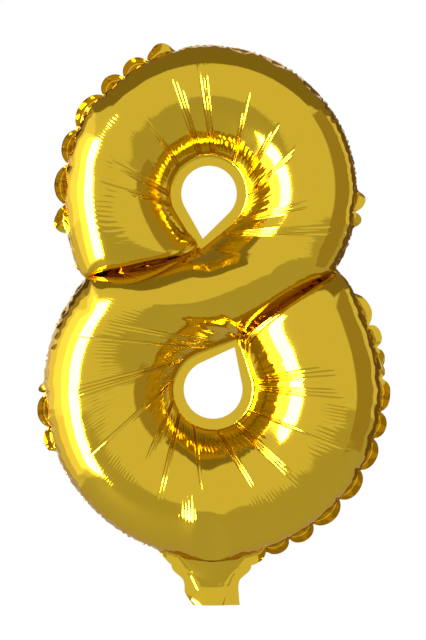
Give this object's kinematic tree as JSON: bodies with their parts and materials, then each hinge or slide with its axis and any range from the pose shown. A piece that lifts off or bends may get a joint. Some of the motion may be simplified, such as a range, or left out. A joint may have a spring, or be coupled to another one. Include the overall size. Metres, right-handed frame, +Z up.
{
  "type": "foil number balloon",
  "caption": "Inflated foil balloon shaped as a figure eight, with two teardrop holes, scalloped welded seams and a short folding fill tail holding a flat film valve.",
  "frame": {"origin": "middle of the neck on the fold line between the body and the fill tail, in the plane of the welded seam", "axes": "+Z up the figure, +X to the viewer's right as the figure reads, -Y towards the front; the seam lies in the XZ plane"},
  "size_m": [0.2209, 0.07, 0.35],
  "materials": {
    "gold_foil": "mirror-bright metallised film under clear gold lacquer",
    "valve_film": "milky translucent polyethylene film"
  },
  "bodies": {
    "envelope": {"front_panel": "gold_foil", "back_panel": "gold_foil", "valve_front_film": "valve_film", "valve_back_film": "valve_film"},
    "tail": {"tail_front_leaf": "gold_foil", "tail_back_leaf": "gold_foil", "valve_front_lip": "valve_film", "valve_back_lip": "valve_film"}
  },
  "joints": [
    {"name": "tail_fold", "type": "hinge", "parent": "envelope", "child": "tail", "pos_m": [0, 0, 0], "axis": [1, 0, 0], "range_deg": [-90, 90]}
  ]
}
